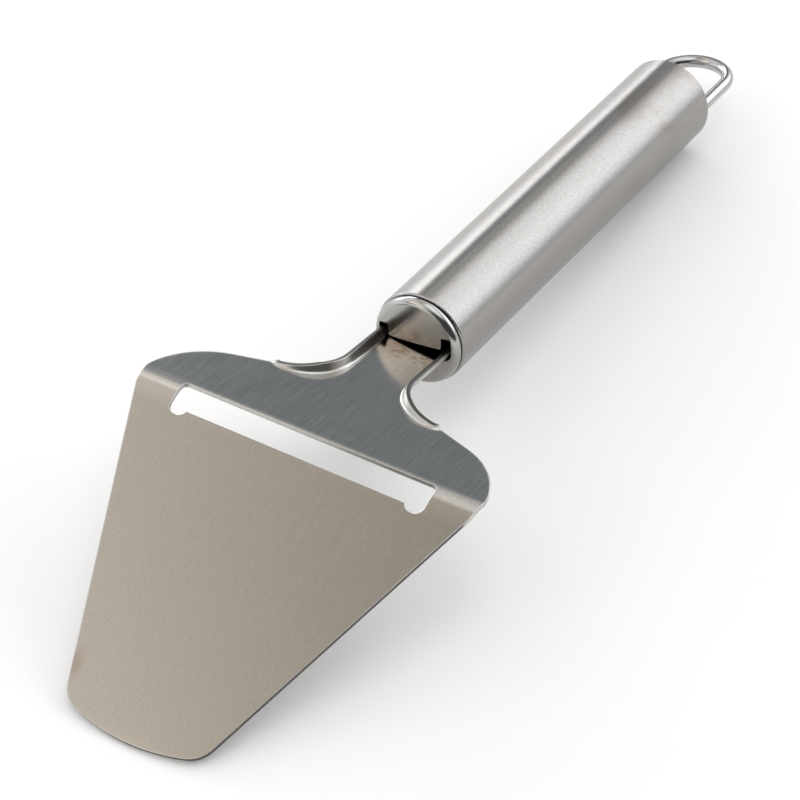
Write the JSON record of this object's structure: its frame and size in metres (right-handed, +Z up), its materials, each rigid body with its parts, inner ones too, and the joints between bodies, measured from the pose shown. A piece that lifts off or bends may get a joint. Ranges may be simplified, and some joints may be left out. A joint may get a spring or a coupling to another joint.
{
  "type": "cheese slicer",
  "caption": "Cheese slicer: bent tapered steel blade with a wide slicing slot, flanged neck, slotted round cap, hollow tube handle and wire hanging loop.",
  "frame": {"origin": "centre of the bounding box in plan, on the ground plane the slicer rests on, blade top up", "axes": "+X from the blade tip towards the hanging loop along the longest extent, +Y across the blade, +Z up"},
  "size_m": [0.2446, 0.0792, 0.0314],
  "materials": {
    "blade_steel": "fine brushed stainless sheet",
    "cap_steel": "satin with a polished rim",
    "tube_steel": "satin, ground round the tube",
    "plug_steel": "satin",
    "loop_steel": "polished stainless wire",
    "weld_steel": "raw weld bead"
  },
  "bodies": {
    "root": {"blade": "blade_steel", "front_cap": "cap_steel", "handle_tube": "tube_steel", "rear_plug": "plug_steel", "hanging_loop": "loop_steel", "tang_welds": "weld_steel", "loop_welds": "weld_steel"}
  },
  "joints": []
}
